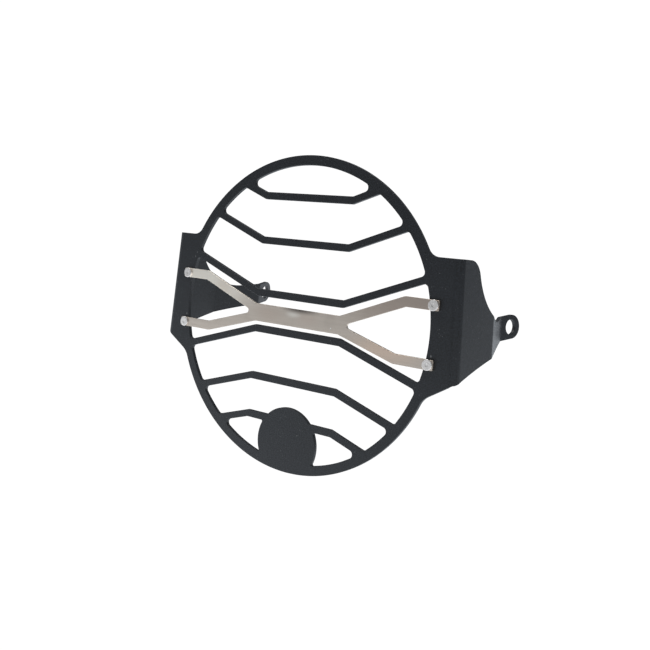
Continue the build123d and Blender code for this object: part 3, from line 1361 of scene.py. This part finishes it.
    def _wing_lower(self, hole: complex, start: float) -> np.ndarray:
        """Lower edge of the right wing from the fold to the ear's tip, as depth + i height.

        The edge rises from the fold to the heel. From there one long arc runs into the ear's straight lower
        edge, tangent to it: its centre lies under that edge's start t, square to it, at the distance
        |h - t|^2 / (2 (h - t) . n), with h the heel and n the edge's normal.

        Args:
            hole: middle of the bolt hole.
            start: depth at which the edge begins.

        Returns:
            Points of the edge.
        """
        along = self._ear_along
        normal = 1j * along
        throat = hole - self.throat_before_hole * along - self.ear_width / 2.0 * normal
        heel = complex(*self.heel)
        chord = heel - throat
        radius = abs(chord) ** 2 / (2.0 * (chord * normal.conjugate()).real)
        foot = complex(start, self.cheek_bottom)
        cuts: List[Cut] = [
            Straight(foot, math.degrees(np.angle(heel - foot))),
            Round(throat + radius * normal, abs(radius), Turn.RIGHT),
        ]
        path = CutPath(cuts, [Corner(self.heel_round, Turn.RIGHT)], self.wing_step)
        return path.open_between(foot, throat)

    def _tip(self, hole: complex) -> np.ndarray:
        """Rounds the ear's tip: half a circle as wide as the ear.

        Args:
            hole: middle of the bolt hole.

        Returns:
            Points of the edge upwards, as depth + i height.
        """
        along = self._ear_along
        half = self.ear_width / 2.0
        centre = hole + (self.ear_hole_from_end - half - self.tip_trim) * along
        across = 1j * half * along
        return Round(centre, half).sample(centre - across, centre + across, self.wing_step)

    def _wing_upper(self, hole: complex, end: float) -> np.ndarray:
        """Upper edge of the right wing from the ear to the fold, as depth + i height.

        From the ear's straight upper edge, an arc of the sweep's radius, one of the shoulder's radius and the
        level top of the cheek, each tangent to the next. The sweep's centre is one sweep radius above the
        ear's edge, and as far from the shoulder's centre as both radii.

        Args:
            hole: middle of the bolt hole.
            end: depth at which the edge ends.

        Returns:
            Points of the edge.
        """
        along = self._ear_along
        half = self.ear_width / 2.0
        shoulder = complex(self.shoulder_depth, self.cheek_top - self.shoulder_radius)
        from_hole = (shoulder - hole) / along
        reach = self.shoulder_radius + self.sweep_radius
        above = half + self.sweep_radius
        run = from_hole.real + math.sqrt(reach**2 - (above - from_hole.imag) ** 2)
        sweep = hole + complex(run, above) * along
        bend = shoulder + (sweep - shoulder) * self.shoulder_radius / reach
        start = hole + complex(run, half) * along
        lower = Round(sweep, self.sweep_radius, Turn.RIGHT).sample(start, bend, self.wing_step)
        top = shoulder + 1j * self.shoulder_radius
        upper = Round(shoulder, self.shoulder_radius).sample(bend, top, self.wing_step)
        return np.concatenate([lower, upper[1:], [complex(end, self.cheek_top)]])

    def outline(self, plan: Plan) -> Loop:
        """Cuts the outer edge: the right half travelled upwards, then the same half mirrored.

        The front part is cut as seen from in front and the wing as seen from the side. They meet half way
        round the first fold, where the front part runs level and the wing's lower edge starts to rise.

        Args:
            plan: the sheet's plan.

        Returns:
            The blank's outline.
        """
        ring = Round(0j, self.ring_outer)
        lean = math.tan(math.radians(self.fold_lean))
        foot_corner = complex(
            self.cheek_half_width - self.cheek_bottom * lean - self.foot_inset, self.cheek_bottom
        )
        foot_x, foot_depth = plan.first_bend(self.cheek_bottom)
        top_x, top_depth = plan.first_bend(self.cheek_top)
        lower = CutPath(
            [ring, Straight(foot_corner, self.cheek_foot_angle), Straight(foot_corner, 0.0)],
            [Corner(self.cheek_foot_fillet, Turn.RIGHT), Corner(self.heel_round, Turn.RIGHT)],
        ).open_between(-1j * self.ring_outer, complex(foot_x, self.cheek_bottom))
        upper = CutPath(
            [Straight(complex(top_x, self.cheek_top), 180.0), ring],
            [Corner(self.cheek_top_fillet, Turn.RIGHT)],
        ).open_between(complex(top_x, self.cheek_top), 1j * self.ring_outer)
        hole = self._hole_side(plan)
        wing = [self._wing_lower(hole, foot_depth), self._tip(hole), self._wing_upper(hole, top_depth)]
        wing_edge = plan.from_side(np.concatenate(wing))
        right = np.concatenate([plan.from_front(lower[:-1]), wing_edge, plan.from_front(upper[1:])])
        left = -right[::-1].conj()
        return Loop(np.concatenate([right[:-1], left[:-1]]), self.edge_radius, self.rim)

    def holes(self, plan: Plan) -> List[Loop]:
        """Cuts the bolt holes of the ears and the rivet holes.

        Args:
            plan: the sheet's plan.

        Returns:
            Their loops.
        """
        right = complex(plan.from_side(np.array([self._hole_side(plan)]))[0])
        middles = (right, -right.conjugate())
        rings = [circle_loop(middle, self.ear_hole, self.hole_points) for middle in middles]
        return [Loop(ring, self.edge_radius, self.rim) for ring in rings] + self.rivets.holes()

    def build(self, finish: PowderCoat) -> bpy.types.Object:
        """Cuts, folds and coats the sheet.

        Args:
            finish: the powder coat.

        Returns:
            The guard plate.
        """
        plan = self.plan()
        loops = [self.outline(plan)] + self.openings() + self.holes(plan)
        blank = Blank("coated_guard_plate", self.sheet, loops, plan=plan)
        return dress(blank.build(), finish.material(), "black_coat", "guard_plate")


# The cross brace


@dataclass
class CrossBrace:
    """The brushed brace: a middle bar, four arms at the bars' slopes and four flat ends with a rivet hole."""

    thickness: float = 1.5
    half_length: float = 98.6
    middle_half: float = 32.6
    middle_height: float = -1.2
    middle_width: float = 11.3
    strip: float = 6.1
    upper_angle: float = 21.2
    lower_angle: float = 16.1
    upper_end: float = 18.4
    lower_end: float = -15.3
    crotch: float = 1.8
    elbow: float = 3.0
    end_corner: float = 0.8
    shoulder: float = 0.4
    edge_radius: float = 0.15
    rim: float = 0.3
    rivets: RivetPattern = RivetPattern()

    def _end(self, height: float, last: Turn) -> List[Tuple[Straight, Corner]]:
        """Cuts a level end on the right.

        Args:
            height: of the end's middle.
            last: the way that the elbow over it turns.

        Returns:
            The cuts under, across and over it, each with its corner.
        """
        half, square = self.strip / 2.0, Corner(self.end_corner)
        return [
            (Straight(complex(0.0, height - half), 0.0), square),
            (Straight(complex(self.half_length, 0.0), 90.0), square),
            (Straight(complex(0.0, height + half), 180.0), Corner(self.elbow, last)),
        ]

    @staticmethod
    def _mirrored(right: List[Tuple[Straight, Corner]]) -> List[Tuple[Straight, Corner]]:
        """Lays out the left half: the cuts mirrored and met the other way round.

        Args:
            right: the right half.

        Returns:
            The left half, where each corner goes to the cut that now leads into it.
        """
        cuts = [Straight(-cut.through.conjugate(), -cut.heading) for cut, _ in reversed(right)]
        corners = [corner for _, corner in reversed(right)]
        return list(zip(cuts, corners[1:] + corners[:1]))

    def outline(self) -> Loop:
        """Lays out the brace's edge as straight cuts with round corners.

        Returns:
            The loop, counter-clockwise.
        """
        top = complex(self.middle_half, self.middle_height + self.middle_width / 2.0)
        foot = complex(self.middle_half, self.middle_height - self.middle_width / 2.0)
        up, down = self.upper_angle, -self.lower_angle
        upper_arm, lower_arm = Straight(top, up), Straight(foot, down)
        over_lower = Straight(lower_arm.shifted(self.strip).through, down + 180.0)
        shoulder = Corner(self.shoulder, Turn.RIGHT)
        right = [(lower_arm, Corner(self.elbow))]
        right += self._end(self.lower_end, Turn.RIGHT)
        right += [(over_lower, Corner(self.crotch, Turn.RIGHT))]
        right += [(upper_arm.shifted(-self.strip), Corner(self.elbow, Turn.RIGHT))]
        right += self._end(self.upper_end, Turn.LEFT)
        right += [(Straight(top, up + 180.0), shoulder)]
        chain = right + [(Straight(top, 180.0), shoulder)]
        chain += self._mirrored(right) + [(Straight(foot, 0.0), shoulder)]
        path = CutPath([cut for cut, _ in chain], [corner for _, corner in chain])
        return Loop(path.closed(), self.edge_radius, self.rim)

    def build(self, finish: BrushedSteel) -> bpy.types.Object:
        """Cuts and brushes the brace.

        Args:
            finish: the brushed steel.

        Returns:
            The brace.
        """
        loops = [self.outline()] + self.rivets.holes()
        blank = Blank("brushed_cross_brace", self.thickness, loops, front=-self.thickness)
        return dress(blank.build(), finish.material(), "brushed_brace", "cross_brace")


# Rivets


@dataclass(frozen=True)
class Rivet:
    """A blind rivet: a domed body with its tail set behind the sheet, and the pin that stays inside.

    Its sizes are radii and depths in the plane of its profile. The head's face starts and ends by the face
    margins inside its edges. The pin's broken end is dished: the dish is deepest in the middle.
    """

    name: str
    place: complex
    grip_front: float = -1.5
    grip_back: float = 2.5
    shank: float = 1.6
    bore: float = 0.95
    lip: float = 0.04
    head_radius: float = 3.25
    head_thickness: float = 1.0
    head_edge: float = 0.35
    face_margins: Tuple[float, float] = (0.3, 0.1)
    face_rings: int = 10
    tail_radius: float = 2.5
    tail_length: float = 2.2
    tail_edge: float = 0.6
    broken_edge: float = 0.1
    pin_radius: float = 0.9
    pin_recess: float = 0.04
    pin_edge: float = 0.08
    pin_dish: float = 0.06
    pin_dish_edge: Tuple[float, float] = (0.25, 0.02)
    pin_head: float = 1.5
    pin_head_side: float = 0.65
    pin_tip: float = 0.75
    pin_tip_length: float = 0.65
    around: int = 64
    sharp_from: float = 40.0

    @staticmethod
    def _quarter(centre: complex, radius: float, start: float, count: int = 6) -> np.ndarray:
        """A quarter of a circle in the profile plane: the centre plus the radius at even turns."""
        return centre + radius * np.exp(1j * np.radians(np.linspace(start, start + 90.0, count)))

    def body_profile(self) -> np.ndarray:
        """Draws the body from the bore's mouth over the head, shank and tail to the bore's far end.

        Returns:
            Radius + i depth.
        """
        front = self.grip_front - self.head_thickness
        back = self.grip_back
        end = back + self.tail_length
        edge, tail_edge, chamfer = self.head_edge, self.tail_edge, self.broken_edge
        first, last = self.face_margins
        face = np.linspace(self.bore + first, self.head_radius - edge - last, self.face_rings)
        sides = [
            complex(self.head_radius, self.grip_front),
            complex(self.shank, self.grip_front),
            complex(self.shank, back),
            complex(self.tail_radius - chamfer, back),
            complex(self.tail_radius, back + chamfer),
        ]
        pieces = [
            self._quarter(complex(self.bore + self.lip, front + self.lip), self.lip, 180.0, 4),
            face + 1j * front,
            self._quarter(complex(self.head_radius - edge, front + edge), edge, 270.0),
            sides,
            self._quarter(complex(self.tail_radius - tail_edge, end - tail_edge), tail_edge, 0.0),
            [complex(self.bore, end)],
        ]
        return np.concatenate(pieces)

    def pin_profile(self) -> np.ndarray:
        """Draws the pin from its broken end in the head to the tip behind the tail.

        Returns:
            Radius + i depth.
        """
        front = self.grip_front - self.head_thickness + self.pin_recess
        tail_end = self.grip_back + self.tail_length
        side_end = tail_end + self.pin_head_side
        tip_end = side_end + self.pin_tip_length
        dish_in, dish_down = self.pin_dish_edge
        points = [
            complex(0.0, front + self.pin_dish),
            complex(self.pin_radius - dish_in, front + dish_down),
            complex(self.pin_radius - self.pin_edge, front),
            complex(self.pin_radius, front + self.pin_edge),
            complex(self.pin_radius, tail_end),
            complex(self.pin_head - self.broken_edge, tail_end),
            complex(self.pin_head, tail_end + self.broken_edge),
            complex(self.pin_head, side_end),
            complex(self.pin_tip, tip_end),
            complex(0.0, tip_end),
        ]
        return np.array(points)

    def _turned(self, name: str, profile: np.ndarray, closed: bool) -> bpy.types.Object:
        """A surface of revolution: the profile's radius goes round the rivet's axis, its depth stays.

        Args:
            name: the piece's name.
            profile: radius + i depth.
            closed: true where the profile runs back to its start, false where both ends lie on the axis.

        Returns:
            The closed mesh's object.
        """
        kept = profile if closed else profile[1:-1]
        ring = self.place + circles(kept.real, self.around)
        depth = np.broadcast_to(kept.imag, ring.shape)
        position = np.stack([ring.real, depth, ring.imag], axis=-1).reshape(-1, 3)
        grid = np.arange(ring.size).reshape(ring.shape)
        if closed:
            faces = [loop_quads(np.column_stack([grid, grid[:, 0]]))]
        else:
            tips = [[self.place.real, end.imag, self.place.imag] for end in profile[[0, -1]]]
            position = np.concatenate([position, tips])
            faces = [loop_quads(grid), fan(ring.size, grid[:, 0]), fan(ring.size + 1, grid[::-1, -1])]
        mesh = mesh_from(name, position * METRES, faces)
        mesh.set_sharp_from_angle(angle=math.radians(self.sharp_from))
        return link(name, mesh)

    def build(self, pin_finish: bpy.types.Material) -> None:
        """Makes the rivet's body and pin.

        Args:
            pin_finish: the steel that all pins share.
        """
        alloy = RivetAlloy(f"satin_alloy_{self.name}", self.place).material()
        body = self._turned(f"set_rivet_{self.name}", self.body_profile(), True)
        dress(body, alloy, "rivet_alloy", f"rivet_{self.name}")
        pin = self._turned(f"held_pin_{self.name}", self.pin_profile(), False)
        dress(pin, pin_finish, "rivet_pin", f"rivet_pin_{self.name}")


# Studio


@dataclass(frozen=True)
class RoomEnd:
    """A brighter end of the room: how bright it is, and where along its direction it starts and is full."""

    brightness: float
    start: float
    full: float

    def glow(self, along: Socket) -> Socket:
        """Its brightness by a smooth step along its direction."""
        return self.brightness * along.between(self.start, self.full)


@dataclass(frozen=True)
class Studio:
    """A pale table under the guard, soft light from the back and left, and the camera of the photograph.

    Its lengths are metres. The room is dim, with a smooth step towards each brighter end of it. The front end
    is faint and turned to the right, and the left and right ends fade out upwards.
    """

    floor_height: float = -0.22
    floor_radius: float = 6.0
    floor_around: int = 96
    floor_rings: int = 8
    tint: Tuple[float, float, float, float] = (0.92, 0.98, 1.05, 1.0)
    white: float = 1.05
    room: float = 0.14
    left: RoomEnd = RoomEnd(0.46, 0.30, 0.85)
    right: RoomEnd = RoomEnd(0.35, 0.40, 0.90)
    below: RoomEnd = RoomEnd(0.95, 0.0, 0.35)
    behind: RoomEnd = RoomEnd(1.15, 0.887, 1.0)
    front: RoomEnd = RoomEnd(0.24, 0.86, 1.0)
    front_turn: float = 30.0
    above: RoomEnd = RoomEnd(0.28, 0.3, 0.9)
    sides_fade: Tuple[float, float] = (-0.25, 0.15)
    lamp_place: Triple = (-0.5, -0.3, 1.1)
    lamp_size: float = 0.9
    lamp_watts: float = 9.0
    camera_place: Triple = (0.31021, -0.41241, 0.04593)
    camera_turn: Triple = (84.474, -5.438, 35.479)
    focal_length: float = 45.81
    sensor: float = 36.0
    clip: Tuple[float, float] = (0.01, 50.0)

    def floor(self) -> None:
        """A round pale floor: rings of growing radius round the origin, at one height."""
        radius = self.floor_radius * np.linspace(0.0, 1.0, self.floor_rings + 1)[1:]
        ring = circles(radius, self.floor_around)
        position = np.stack([ring.real, ring.imag, np.full(ring.shape, self.floor_height)], axis=-1)
        position = np.concatenate([position.reshape(-1, 3), [[0.0, 0.0, self.floor_height]]])
        grid = np.arange(ring.size).reshape(ring.shape)
        mesh = mesh_from("pale_floor", position, [loop_quads(grid), fan(ring.size, grid[:, 0])])
        material, kit = new_material("pale_table")
        place = kit.node("ShaderNodeTexCoord", output="Object")
        direction = kit.node("ShaderNodeVectorMath", {"operation": "NORMALIZE"}, {0: place})
        self._light(kit, direction, "ShaderNodeEmission", "ShaderNodeOutputMaterial")
        mesh.materials.append(material)
        link("pale_floor", mesh)

    def _glow(self, kit: ShaderKit, direction: Socket) -> Socket:
        """Works out how bright the room is in a direction: the dim room plus each of its ends.

        Args:
            kit: the nodes of the room or of the floor.
            direction: unit vector from the middle of the room.

        Returns:
            The brightness.
        """
        x, y, z = kit.parts(direction)
        aside = math.radians(self.front_turn)
        in_front = x * math.sin(aside) - y * math.cos(aside)
        sides = (self.left.glow(0.0 - x) + self.right.glow(x)) * (0.0 - z).between(*self.sides_fade)
        ends = self.behind.glow(y) + self.front.glow(in_front) + self.above.glow(z)
        return self.room + sides + self.below.glow(0.0 - z) + ends

    def _light(self, kit: ShaderKit, direction: Socket, shine: str, output: str) -> None:
        """Ends a tree: white to the eye, and as uneven as a real room for light and reflections.

        Args:
            kit: the nodes of the room or of the floor.
            direction: unit vector from the middle of the room.
            shine: the type of the nodes that shine.
            output: the type of the tree's output.
        """
        room = kit.node(shine, None, {"Color": self.tint, "Strength": self._glow(kit, direction)})
        seen = kit.node(shine, None, {"Color": WHITE, "Strength": self.white})
        eye = kit.node("ShaderNodeLightPath", output="Is Camera Ray")
        kit.node(output, None, {"Surface": kit.node("ShaderNodeMixShader", None, {0: eye, 1: room, 2: seen})})

    def sky(self) -> None:
        """Gives the scene its room."""
        world = bpy.data.worlds.new("pale_room")
        bpy.context.scene.world = world
        world.use_nodes = True
        kit = ShaderKit(world.node_tree)
        direction = kit.node("ShaderNodeTexCoord", output="Generated")
        self._light(kit, direction, "ShaderNodeBackground", "ShaderNodeOutputWorld")

    def lamp(self) -> None:
        """Hangs a soft square lamp that looks at the middle of the guard."""
        data = bpy.data.lights.new("soft_top", "AREA")
        data.size, data.energy = self.lamp_size, self.lamp_watts
        lamp = bpy.data.objects.new("soft_top", data)
        lamp.location = self.lamp_place
        lamp.rotation_euler = (-Vector(self.lamp_place)).to_track_quat("-Z", "Y").to_euler()
        bpy.context.scene.collection.objects.link(lamp)

    def camera(self) -> None:
        """Puts the camera where a fit to the photograph has it."""
        data = bpy.data.cameras.new("camera")
        data.lens, data.sensor_width = self.focal_length, self.sensor
        data.clip_start, data.clip_end = self.clip
        camera = bpy.data.objects.new("camera", data)
        camera.location = self.camera_place
        camera.rotation_euler = Euler([math.radians(angle) for angle in self.camera_turn], "XYZ")
        bpy.context.scene.collection.objects.link(camera)
        bpy.context.scene.camera = camera

    def build(self) -> None:
        """Sets up floor, room, lamp, camera and plain colour handling."""
        self.floor()
        self.sky()
        self.lamp()
        self.camera()
        view = bpy.context.scene.view_settings
        view.view_transform = "Standard"
        view.look = "None"


def main() -> None:
    """Builds the studio, the guard, its brace and the rivets."""
    Studio().build()
    rivets = RivetPattern()
    GuardPlate(rivets=rivets).build(PowderCoat())
    CrossBrace(rivets=rivets).build(BRACE_STEEL)
    pin_finish = PIN_STEEL.material()
    for name, place in rivets.places().items():
        Rivet(name, place).build(pin_finish)


if __name__ == "__main__":
    main()
